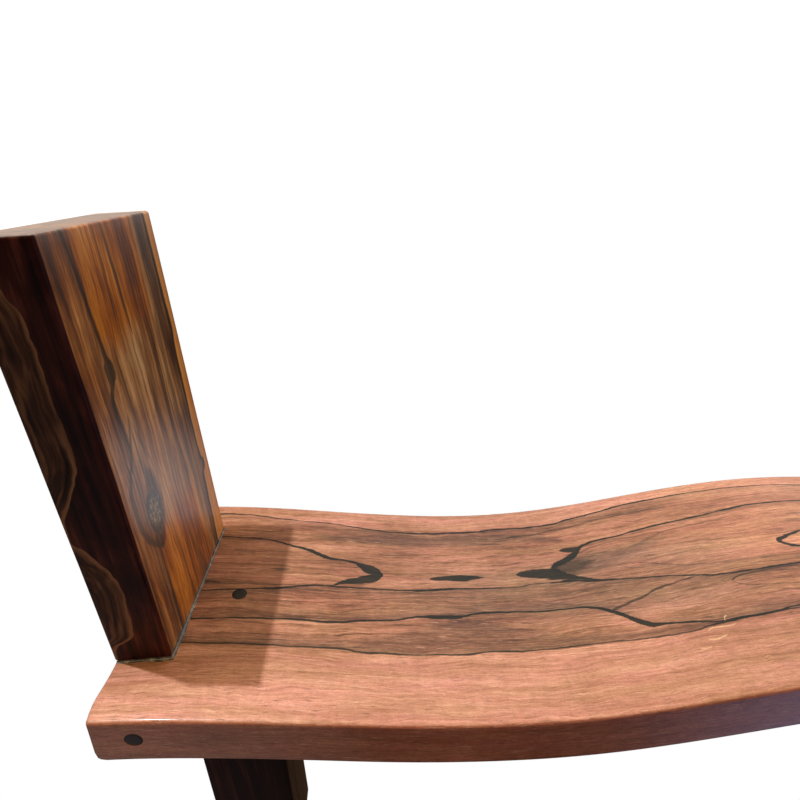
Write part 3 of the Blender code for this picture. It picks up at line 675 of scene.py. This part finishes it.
def post_wood(name, outer_x, side, drift, knotty):
    """Rosewood of one post. drift moves the streaks, and knotty is true where the eye is."""
    g = Graph(name)
    px, py, pz = g.split(g.object_point())
    inward = (px - outer_x) * (-side * TO_MM)
    depth = (POST_INSET[1] - POST_INSET[0]) * TO_MM - inward
    across = py * TO_MM - POST_LOW.y * TO_MM
    up = pz * TO_MM - SEAT_Z * TO_MM

    even = g.grain(up, across, depth)
    wander = even((0.012, 0.03, 0.03), drift, detail=2)
    wiggle = even((0.07, 0.1, 0.08), drift + 3, detail=2)
    patches = even((0.016, 0.03, 0.03), drift + 6)
    ripple = even((0.02, 0.03, 0.03), drift, detail=1)
    warped = across + wander.swing(9.0) + wiggle.swing(2.4)
    lines_at = wiggle.swing(1.6) + across + depth * 0.22
    figured = g.grain(up, warped, depth)
    streak = figured((0.03, 0.9, 0.5), drift + 5, roughness=0.6)
    veins = Veins(up, lines_at, streak.swing(2.2))
    veins.draw(POST_VEINS, POST_SMUDGES)
    if knotty:
        veins.draw(EYE_VEINS, EYE_SMUDGES)

    bands = figured((0.006, 0.075, 0.06), drift, detail=5, roughness=0.68)
    stripes = figured((0.008, 0.26, 0.2), drift + 9, detail=4, roughness=0.62)
    fine = figured((0.05, 0.9, 0.8), drift + 2, roughness=0.65)
    glowing = patches.fit(0.5, 0.66)
    if knotty:
        seen = up.fit(225, 262).most(up.fit(105, 70)) * across.fit(26, 36) * across.fit(126, 104)
        glowing = glowing + depth.fit(26, 8) * (seen - glowing)
    tone = across.curve(POST_TONE) + bands.swing(1.00) + stripes.swing(1.1) + fine.swing(0.45)
    tone = tone + patches.swing(0.7) - veins.shade * 0.36
    orange = tone.ramp((0.05, (0.02, 0.005, 0.001)), (0.3, (0.1, 0.022, 0.001)),
                       (0.52, (0.28, 0.072, 0.003)), (0.74, (0.56, 0.18, 0.008)),
                       (0.95, (0.78, 0.33, 0.045)))
    brown = tone.ramp((0.05, (0.03, 0.016, 0.006)), (0.3, (0.11, 0.056, 0.02)),
                      (0.52, (0.28, 0.148, 0.054)), (0.74, (0.5, 0.285, 0.115)),
                      (0.95, (0.7, 0.44, 0.21)))
    browner = patches.swing(1.2) + across.fit(12, 40, 0.35, 0.7)
    wood = g.mix(glowing * -0.95 + browner, orange, brown)

    if knotty:
        across_eye, up_eye = (lines_at - 37) * (1 / 11), (up - 111) * (1 / 17)
        ring = g.math("SQRT", across_eye * across_eye + up_eye * up_eye) + streak.swing(0.5)
        heart = ring.fit(1.25, 0.95)
        specks = even((0.25, 0.45, 0.1), 8.0, roughness=0.7)
        knot = specks.ramp((0.35, (0.03, 0.022, 0.012)), (0.52, (0.13, 0.092, 0.046)),
                           (0.66, (0.52, 0.41, 0.25)))
        knot = g.mix(ring.fit(0.55, 0.85) * heart * 0.8, knot, (0.016, 0.012, 0.008))
        wood = g.mix(heart * depth.fit(20, 4), wood, knot)

    sap = (lines_at - up.curve([(a, place) for a, place, _ in SAP_LINE])).fit(0.0, 1.2)
    sap_tone = stripes * 0.7 + fine * 0.4 + bands * 0.3 - across.fit(151, 158) * 0.22 - 0.15
    wood = g.mix(sap, wood, sap_tone.ramp((0.05, (0.1, 0.034, 0.01)), (0.3, (0.5, 0.18, 0.03)),
                                          (0.6, (0.8, 0.34, 0.07)), (0.85, (0.95, 0.5, 0.15))))
    pores = figured((0.13, 2.6, 2.0), drift + 1, detail=1).fit(0.66, 0.74)
    wood = g.mix(pores * 0.45, wood, (0.018, 0.009, 0.005))
    wood = g.mix(veins.ink * 0.9, wood, g.mix(stripes, (0.008, 0.006, 0.003), (0.05, 0.032, 0.014)))

    # A near-black layer lies along the front face, with a brown figure that enters from outside. The
    # near-black is partly the wood's own and partly painted shade, as that face is in shade.
    from_edge = wiggle.swing(4.0) - (inward - up.curve(FRONT_FIGURE))
    glow = from_edge.fit(-0.4, 0.5) * from_edge.fit(5.5, 0.3)
    growth_at = g.join(from_edge * 0.24, up * 0.025 + wander * 3.0, drift)
    growth = g.noise(growth_at, detail=2, distortion=0.3)
    figure_wood = (growth * 0.8 + glow * 0.30 + patches * 0.6 - 0.2).ramp(
        (0.32, (0.01, 0.004, 0.003)), (0.5, (0.055, 0.021, 0.01)), (0.78, (0.23, 0.105, 0.044)))
    dark_wood_and_shade = (stripes * 0.5 + patches * 0.5).ramp(
        (0.4, (0.008, 0.002, 0.002)), (0.52, (0.04, 0.008, 0.005)), (0.64, (0.12, 0.03, 0.016)))
    front_dark_and_shade = across.fit(2.6, 1.6)
    wood = g.mix(front_dark_and_shade, wood, g.mix(from_edge.fit(-0.4, 0.5), dark_wood_and_shade, figure_wood))
    # Painted sheen: the lamp-lit top face of the post is painted pale grey-pink.
    height = (POST_HIGH.z - SEAT_Z) * TO_MM
    top_sheen = g.mix(stripes, (0.22, 0.185, 0.165), (0.5, 0.43, 0.39))
    wood = g.mix(up.fit(height - 1.4, height - 0.4) * 0.75, wood, top_sheen)

    surface = g.bump(ripple, 0.35, 0.0012, g.bump(pores * -1.0, 0.25, 0.00006))
    return g.finish(wood, bands * 0.12 + pores * 0.10 + 0.3, surface, specular=front_dark_and_shade * -0.12 + 0.18,
                    coat=front_dark_and_shade * -0.22 + 0.3, coat_rough=0.28)


# ---------------------------------------------------------------- the other materials
def leg_wood(name, grain, drift):
    """Very dark rosewood. grain is the axis that the streaks run along, Y or Z."""
    g = Graph(name)
    px, py, pz = g.split(g.object_point())
    order = (pz, py, px) if grain == "Z" else (py, px, pz)
    streaked = g.grain(*(v * TO_MM for v in order))
    bands = streaked((0.006, 0.12, 0.12), drift, detail=4, roughness=0.6)
    fine = streaked((0.05, 1.6, 1.6), drift + 4, detail=2)
    pores = streaked((0.13, 2.6, 2.6), drift + 1, detail=1).fit(0.66, 0.74)
    wood = (bands * 0.85 + fine * 0.25 - 0.06).ramp(
        (0.34, (0.006, 0.001, 0.001)), (0.52, (0.018, 0.003, 0.002)), (0.64, (0.055, 0.015, 0.008)),
        (0.8, (0.13, 0.05, 0.024)))
    wood = g.mix(pores * 0.5, wood, (0.004, 0.003, 0.002))
    if grain == "Z":
        # Painted light: a browner, paler layer lies along the leg's inner face, the side that is lit.
        inner = pz * ((LEG_TOP_INSET[1] - LEG_FOOT_INSET[1]) / LEG_HEIGHT) + LEG_FOOT_INSET[1]
        painted_lit_face = (HALF_LENGTH - abs(px) - inner).fit(-0.0022, -0.0012)
        wood = g.mix(painted_lit_face, wood, bands.ramp((0.35, (0.035, 0.017, 0.007)), (0.65, (0.14, 0.07, 0.028))))
    return g.finish(wood, bands * 0.15 + 0.26, g.bump(pores * -1.0, 0.3, 0.00008), specular=0.03, coat=0.02,
                    coat_rough=0.2)


def fine_grain(g):
    """Noise over the object's own place in millimetres."""
    return g.grain(*(v * TO_MM for v in g.split(g.object_point())))


def plug_wood():
    """End grain of a black plug: close rings, a few pores and a waxy polish."""
    g = Graph("black_plug")
    noise_at = fine_grain(g)
    speckle = noise_at((1.4, 1.4, 1.4), detail=4, roughness=0.7)
    rings = noise_at((0.9, 0.3, 0.9), detail=2)
    wood = (speckle * 0.6 + rings * 0.4).ramp((0.35, (0.004, 0.004, 0.004)), (0.6, (0.013, 0.01, 0.008)),
                                              (0.75, (0.04, 0.028, 0.018)))
    return g.finish(wood, speckle * 0.3 + 0.28, g.bump(speckle, 0.3, 0.00012), specular=0.25, coat=0.1,
                    coat_rough=0.2)


def beech_wood():
    g = Graph("beech")
    noise_at = fine_grain(g)
    grain = noise_at((0.9, 0.9, 0.04), detail=4)
    flecks = noise_at((2.5, 2.5, 0.3), detail=1)
    wood = grain.ramp((0.3, (0.4, 0.24, 0.13)), (0.7, (0.56, 0.37, 0.22)))
    wood = g.mix(flecks.fit(0.62, 0.7, 0, 0.5), wood, (0.25, 0.13, 0.07))
    return g.finish(wood, grain * 0.2 + 0.5, g.bump(flecks, 0.3, 0.0001))


def screw_steel():
    g = Graph("zinc_steel")
    cloud = fine_grain(g)((0.35, 0.35, 0.35), detail=4, roughness=0.65)
    g.set("Metallic", 1.0)
    zinc = cloud.ramp((0.3, (0.42, 0.4, 0.36)), (0.7, (0.66, 0.64, 0.58)))
    return g.finish(zinc, cloud * 0.3 + 0.22, g.bump(cloud, 0.2, 0.00005))


def bead_resin():
    """Squeezed-out finish round a post's foot: amber to grey, glossy."""
    g = Graph("foot_resin")
    cloud = fine_grain(g)((0.12, 0.12, 0.12), detail=4, roughness=0.7)
    resin = cloud.ramp((0.38, (0.03, 0.028, 0.03)), (0.54, (0.13, 0.115, 0.095)),
                       (0.7, (0.48, 0.44, 0.36)))
    return g.finish(resin, cloud * 0.2 + 0.12, g.bump(cloud, 0.5, 0.0006), coat=0.8, coat_rough=0.05)


# ---------------------------------------------------------------- mesh tools
def circle(bm, radius, height, segments):
    """A ring of points. radius is a number, or a function of the angle. No radius gives one point."""
    if radius == 0:
        return [bm.verts.new((0, 0, height))]
    ring = []
    for k in range(segments):
        a = 2 * math.pi * k / segments
        r = radius(a) if callable(radius) else radius
        ring.append(bm.verts.new((r * math.cos(a), r * math.sin(a), height)))
    return ring


def skin(bm, rings):
    """Faces between closed rings of points and over both ends. The first or last may be one point."""
    for below, above in zip(rings, rings[1:]):
        for k in range(max(len(below), len(above))):
            corners = [ring[(k + step) % len(ring)]
                       for ring, step in ((below, 0), (below, 1), (above, 1), (above, 0))]
            bm.faces.new(list(dict.fromkeys(corners)))
    for ring in (rings[0], rings[-1]):
        if len(ring) > 1:
            bm.faces.new(ring)


def turned(profile, segments, place):
    """A closed turned solid: profile is (radius, height) from one end to the other."""
    bm = bmesh.new()
    skin(bm, [circle(bm, radius, height, segments) for radius, height in profile])
    bmesh.ops.recalc_face_normals(bm, faces=bm.faces)
    bmesh.ops.transform(bm, matrix=place, verts=bm.verts)
    return bm


def aim(start, direction):
    return Matrix.Translation(start) @ direction.to_track_quat("Z", "Y").to_matrix().to_4x4()


def side_lines(low, high, radius, spacing, round_steps=3):
    """Grid lines along one side of a block: close in the rounded edges, wider between."""
    edge = [radius * (1 - math.tan(math.radians(45 * (round_steps - k) / round_steps)))
            for k in range(round_steps)]
    inner_low, inner_high = low + radius, high - radius
    count = max(1, round((inner_high - inner_low) / spacing))
    middle = [inner_low + (inner_high - inner_low) * k / count for k in range(count + 1)]
    return [low + e for e in edge] + middle + [high - e for e in reversed(edge)]


def block_mesh(low, high, radius, spacings, shape):
    """A closed block with rounded edges, its surface in small quads, each point moved by shape."""
    bm = bmesh.new()
    lines = [side_lines(low[a], high[a], radius, spacings[a]) for a in range(3)]
    found = {}

    def vertex(key):
        if key not in found:
            point = Vector(lines[a][key[a]] for a in range(3))
            core = Vector(min(max(point[a], low[a] + radius), high[a] - radius) for a in range(3))
            found[key] = bm.verts.new(shape(core + (point - core).normalized() * radius))
        return found[key]

    for axis in range(3):
        u, v = (axis + 1) % 3, (axis + 2) % 3
        for end in (0, len(lines[axis]) - 1):
            for i in range(len(lines[u]) - 1):
                for j in range(len(lines[v]) - 1):
                    ring = []
                    for du, dv in ((0, 0), (1, 0), (1, 1), (0, 1)):
                        key = [0, 0, 0]
                        key[axis], key[u], key[v] = end, i + du, j + dv
                        ring.append(vertex(tuple(key)))
                    bm.faces.new(ring)
    return bm


def to_object(name, bm, material, sharp=35):
    bmesh.ops.recalc_face_normals(bm, faces=bm.faces)
    mesh = bpy.data.meshes.new(name)
    bm.to_mesh(mesh)
    bm.free()
    mesh.materials.append(material)
    mesh.shade_smooth()
    mesh.set_sharp_from_angle(angle=math.radians(sharp))
    return link(bpy.data.objects.new(name, mesh))


def stand_for(piece, node):
    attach(piece, "root")
    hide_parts(node)


def cut(piece, solids):
    """Takes these solids out of a piece for good."""
    joined = bmesh.new()
    for bm in solids:
        carrier = bpy.data.meshes.new("carrier")
        bm.to_mesh(carrier)
        bm.free()
        joined.from_mesh(carrier)
        bpy.data.meshes.remove(carrier)
    tool = link(bpy.data.objects.new("tool", bpy.data.meshes.new("tool")))
    joined.to_mesh(tool.data)
    joined.free()
    modifier = piece.modifiers.new("cut", "BOOLEAN")
    modifier.object = tool
    modifier.operation = "DIFFERENCE"
    modifier.solver = "EXACT"
    graph = bpy.context.evaluated_depsgraph_get()
    made = bpy.data.meshes.new_from_object(piece.evaluated_get(graph))
    piece.modifiers.clear()
    old = piece.data
    piece.data = made
    bpy.data.meshes.remove(old)
    bpy.data.objects.remove(tool)
    piece.data.set_sharp_from_angle(angle=math.radians(35))


def box_mesh(low, high):
    bm = bmesh.new()
    bmesh.ops.create_cube(bm, size=1)
    place = Matrix.Translation((low + high) / 2) @ Matrix.Diagonal((*(high - low), 1))
    bmesh.ops.transform(bm, matrix=place, verts=bm.verts)
    return bm


def from_end(side, inset):
    return side * (HALF_LENGTH - inset)


def span(side, insets):
    return sorted(from_end(side, inset) for inset in insets)


def smooth(value, low, high):
    t = min(1.0, max(0.0, (value - low) / (high - low)))
    return t * t * (3 - 2 * t)


def hand_wave(point, scale, seed):
    """Slow unevenness of a hand-finished face, from -1 to 1."""
    return noise.noise(Vector(point) * scale + Vector((seed, seed, seed)))


# ---------------------------------------------------------------- the plank
def half_cosine(u):
    return (1 - math.cos(math.pi * u)) / 2


def wave_top(x):
    reach = abs(x)
    if reach < DIP_AT:
        rise = (WAVE_HUMP - WAVE_DIP) * half_cosine(1 - reach / DIP_AT)
    else:
        rise = (WAVE_CREST - WAVE_DIP) * half_cosine((reach - DIP_AT) / (CREST_AT - DIP_AT))
    return SEAT_Z + WAVE_DIP + rise


def wave_normal(x):
    step = 0.001
    slope = (wave_top(x + step) - wave_top(x - step)) / (2 * step)
    return Vector((-slope, 0, 1)).normalized()


def plank_thickness(x):
    along = min(1.0, (HALF_LENGTH - abs(x)) / THICKNESS_RUN)
    return THICK_END + (THICK_MIDDLE - THICK_END) * half_cosine(max(0.0, along))


def seat_height(x, y):
    """The plank's top face, which levels out under each post."""
    top = wave_top(x)
    front = smooth(y, -HALF_DEPTH + 0.008, POST_LOW.y - 0.004)
    rear = 1 - smooth(y, POST_HIGH.y + 0.004, HALF_DEPTH - 0.008)
    return top + (min(top, SEAT_Z) - top) * front * rear


def plank_point(p):
    """From a straight block (Z is 0 at the top, -THICK_END at the underside) to the waved plank."""
    depth = -p.z / THICK_END
    top = Vector((p.x, p.y, wave_top(p.x)))
    point = top - wave_normal(p.x) * plank_thickness(p.x) * depth
    point.z += (seat_height(p.x, p.y) - top.z) * (1 - depth)
    near_end = smooth(abs(p.x), HALF_LENGTH - 0.03, HALF_LENGTH)
    from_corner = min(1.0, max(0.0, (HALF_DEPTH - abs(p.y)) / CORNER_RUN))
    out = END_LEAN * depth + END_BULGE * math.sin(math.pi / 2 * from_corner)
    point.x += math.copysign(out * near_end, p.x)
    point.z += 0.00016 * hand_wave((p.x, p.y, 0), 14, 3.0)
    sway = 0.00022 * hand_wave((p.x, 0, p.z), 11, 9.0)
    point.y += sway * math.copysign(1, p.y) * smooth(abs(p.y), 0.11, HALF_DEPTH)
    return point


def rounded_low_end(p):
    """The same block with a fuller round on its lower end edges."""
    core_x = HALF_LENGTH - END_LOW_RADIUS
    core_z = -THICK_END + END_LOW_RADIUS
    out_x, out_z = abs(p.x) - core_x, core_z - p.z
    if out_x <= 0 or out_z <= 0:
        return p
    share = max(out_x, out_z) / math.hypot(out_x, out_z)
    return Vector((math.copysign(core_x + out_x * share, p.x), p.y, core_z - out_z * share))


def edge_plug_place(side, end):
    """The middle of a plug's outer face, and the step inwards."""
    start = Vector((from_end(side, EDGE_PLUG_INSET), end * HALF_DEPTH, SEAT_Z - EDGE_PLUG_DROP))
    return start, Vector((0, -end, 0))


def top_plug_place(side):
    x = from_end(side, TOP_PLUG_INSET)
    return Vector((x, TOP_PLUG_Y, wave_top(x))), Vector((0, 0, -1))


def bore_mesh(start, inward, lead):
    """A plug's hole, as a solid that begins this far outside the wood."""
    radius, length = PLUG_RADIUS + BORE_SLACK, lead + BORE_DEPTH
    profile = [(0, 0), (radius, 0), (radius, length), (0, length)]
    return turned(profile, 48, aim(start - inward * lead, inward))


def make_plank(material):
    low = (-HALF_LENGTH, -HALF_DEPTH, -THICK_END)
    high = (HALF_LENGTH, HALF_DEPTH, 0)
    steps = (0.005, MESH_STEP, MESH_STEP)
    bm = block_mesh(low, high, PLANK_ROUND, steps, lambda p: plank_point(rounded_low_end(p)))
    plank = to_object("plank", bm, material)
    bores = []
    mortises = []
    slack = Vector((GAP, GAP, GAP))
    for side in SIDES.values():
        x_low, x_high = span(side, TENON_INSET)
        mortises.append(box_mesh(Vector((x_low, TENON_Y[0], SEAT_Z - TENON_DEPTH)) - slack,
                                 Vector((x_high, TENON_Y[1], SEAT_Z + 0.01 - GAP)) + slack))
        bores += [bore_mesh(*edge_plug_place(side, end), 0.002) for end in ENDS.values()]
        bores.append(bore_mesh(*top_plug_place(side), 0.004))
    cut(plank, mortises)
    cut(plank, bores)
    stand_for(plank, "kneeling_plank")


# ---------------------------------------------------------------- posts and legs
def make_post(name, side, material, seed):
    x_low, x_high = span(side, POST_INSET)
    low = Vector((x_low, POST_LOW.y, SEAT_Z + 0.0002))
    high = Vector((x_high, POST_HIGH.y, POST_HIGH.z))

    def shape(p):
        return p + 0.00020 * Vector((hand_wave(p, 13, seed), hand_wave(p, 13, seed + 5), 0))

    bm = block_mesh(low, high, POST_ROUND, (MESH_STEP, MESH_STEP, MESH_STEP), shape)
    stand_for(to_object(name, bm, material), name)


def make_leg(name, side, end, material, seed):
    """A straight block whose head follows the plank's underside, and whose foot splays out."""
    width = LEG_TOP_INSET[1] - LEG_TOP_INSET[0]
    y_low, y_high = sorted((end * LEG_Y[0], end * LEG_Y[1]))

    def shape(p):
        across, rise = p.x / width, p.z / SEAT_Z
        foot = LEG_FOOT_INSET[0] + across * (LEG_FOOT_INSET[1] - LEG_FOOT_INSET[0])
        head = LEG_TOP_INSET[0] + across * width
        x = from_end(side, foot + (head - foot) * rise)
        under = wave_top(x) - plank_thickness(x) / wave_normal(x).z - 0.0004
        point = Vector((x, p.y, under * rise))
        point.x += 0.00018 * hand_wave(point, 14, seed)
        return point

    bm = block_mesh((0, y_low, 0), (width, y_high, SEAT_Z), LEG_ROUND, (0.007, MESH_STEP, MESH_STEP), shape)
    stand_for(to_object(name, bm, material), name)


# ---------------------------------------------------------------- plugs, screws, dowels and beads
def make_plug(name, start, inward, material, sloped=False):
    """A flush plug. The outer face of a sloped one follows the plank's own slope."""
    profile = [(0, 0.00002), (PLUG_RADIUS * 0.5, 0.00002), (PLUG_RADIUS - 0.0003, 0.00004),
               (PLUG_RADIUS - 0.0001, 0.00012), (PLUG_RADIUS, 0.0003), (PLUG_RADIUS, PLUG_LENGTH),
               (0, PLUG_LENGTH)]
    bm = turned(profile, 48, aim(start, inward))
    if sloped:
        for v in bm.verts:
            if (v.co - start).dot(inward) < PLUG_LENGTH / 2:
                v.co.z += wave_top(v.co.x) - wave_top(start.x)
    stand_for(to_object(name, bm, material, sharp=50), name)


def make_screw(name, start, inward, length, material):
    """A countersunk wood screw with a real helical thread."""
    steps_per_turn = 8
    thread_from = SCREW_HEAD_HEIGHT + 0.35 * (length - SCREW_HEAD_HEIGHT)
    shank = SCREW_CORE + 0.0003

    def thread(height):
        taper = max(0.08, smooth(length - height, 0, 0.01))

        def radius_at(a):
            phase = (a / (2 * math.pi) - (height - thread_from) / SCREW_PITCH) % 1.0
            ridge = max(0.0, 1 - abs(phase - 0.5) * 4)
            return (SCREW_CORE + (SCREW_CREST - SCREW_CORE) * ridge) * taper
        return radius_at

    profile = [(0, 0.0004), (SCREW_HEAD_RADIUS - 0.0004, 0.0004), (SCREW_HEAD_RADIUS, 0.0007),
               (shank, SCREW_HEAD_HEIGHT), (shank, thread_from)]
    count = int((length - thread_from) / SCREW_PITCH * steps_per_turn)
    for k in range(1, count):
        height = thread_from + SCREW_PITCH * k / steps_per_turn
        profile.append((thread(height), height))
    profile.append((0, length))
    bm = turned(profile, 16, aim(start + inward * (COUNTERBORE_DEPTH + GAP), inward))
    stand_for(to_object(name, bm, material), name)


def make_dowel(name, material):
    """A fluted dowel with chamfered ends."""
    low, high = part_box(name)
    length = high.z - low.z
    profile = []
    for height, share in ((0, 0.8), (DOWEL_CHAMFER, 1.0), (length - DOWEL_CHAMFER, 1.0), (length, 0.8)):
        def radius_at(a, share=share):
            return DOWEL_RADIUS * share - FLUTE_DEPTH * max(0.0, math.cos(FLUTES * a))
        profile.append((radius_at, height))
    middle = (low + high) / 2
    bm = turned(profile, 48, Matrix.Translation((middle.x, middle.y, low.z)))
    stand_for(to_object(name, bm, material), name)


def make_bead(name, side, material):
    """The uneven bead of finish in the corner between a post and the plank."""
    x_out, x_in = from_end(side, -0.0015), from_end(side, POST_INSET[1])
    corners = [Vector((x_in, POST_HIGH.y, 0)), Vector((x_in, POST_LOW.y, 0)), Vector((x_out, POST_LOW.y, 0))]
    centre = (corners[0] + corners[2]) / 2
    spots = []
    for a, b in zip(corners, corners[1:]):
        run = b - a
        count = int(run.length / 0.0025)
        outward = Vector((run.y, -run.x, 0)).normalized()
        if outward.dot((a + b) / 2 - centre) < 0:
            outward.negate()
        steps = [(a + run * (k / count), outward) for k in range(count + 1)]
        if spots:
            before = spots.pop()[1]
            steps[0] = (a, (before + outward).normalized() * 1.2)
        spots += steps

    def ground(p):
        return seat_height(min(max(p.x, -HALF_LENGTH), HALF_LENGTH), p.y)

    bm = bmesh.new()
    rings = []
    for spot, outward in spots:
        front_share = 1 - smooth(spot.y, POST_LOW.y, POST_HIGH.y)
        size = BEAD_RADIUS * (0.45 + 0.55 * front_share) * (0.85 + 0.45 * hand_wave(spot, 90, 2.0))
        foot, inside = spot + outward * size, spot - outward * 0.0006
        base = ground(spot)
        points = [(*inside.xy, base - 0.0006), (*foot.xy, ground(foot) - 0.0006),
                  (*foot.xy, ground(foot) + 0.0001)]
        for k in range(1, 4):
            a = math.radians(90 * k / 4)
            hollow = 1 - 0.42 * math.sin(2 * a)
            reach = size * (1 - math.sin(a)) * hollow
            lift = size * 0.8 * (1 - math.cos(a)) * hollow
            points.append((*(spot + outward * reach).xy, base + lift + 0.0002))
        points += [(*spot.xy, base + size * 0.8), (*inside.xy, base + size * 0.8)]
        rings.append([bm.verts.new(point) for point in points])
    skin(bm, rings)
    bead = to_object(name, bm, material, sharp=60)
    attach(bead, "root")


# ---------------------------------------------------------------- the whole scene
def main():
    bpy.context.scene.view_settings.view_transform = "Standard"
    make_camera()
    make_studio()
    make_lamps()
    make_room()

    make_plank(plank_wood())
    plug, steel, beech, resin = plug_wood(), screw_steel(), beech_wood(), bead_resin()
    rail = leg_wood("rail_rosewood", "Y", 31.0)
    for side_name, side in SIDES.items():
        knotty = side_name == "left"
        drift = 2.0 if knotty else 47.0
        wood = post_wood(side_name + "_post_rosewood", from_end(side, POST_INSET[0]), side, drift, knotty)
        make_post(side_name + "_post", side, wood, 4.0 + side)
        make_bead(side_name + "_post_bead", side, resin)
        place = top_plug_place(side)
        make_plug(side_name + "_top_plug", *place, plug, sloped=True)
        make_screw(side_name + "_rail_screw", *place, RAIL_SCREW_LENGTH, steel)
        rail_mesh = NODES[side_name + "_cross_rail"].data
        rail_mesh.materials.clear()
        rail_mesh.materials.append(rail)
        for end_name, end in ENDS.items():
            corner = end_name + "_" + side_name
            leg = leg_wood(corner + "_leg_rosewood", "Z", 11.0 + 5 * side + 2 * end)
            make_leg(corner + "_leg", side, end, leg, 8.0 + side + end)
            place = edge_plug_place(side, end)
            make_plug(corner + "_edge_plug", *place, plug)
            make_screw(corner + "_post_screw", *place, POST_SCREW_LENGTH, steel)
            for dowel in ("outer", "inner"):
                make_dowel(corner + "_" + dowel + "_dowel", beech)


main()
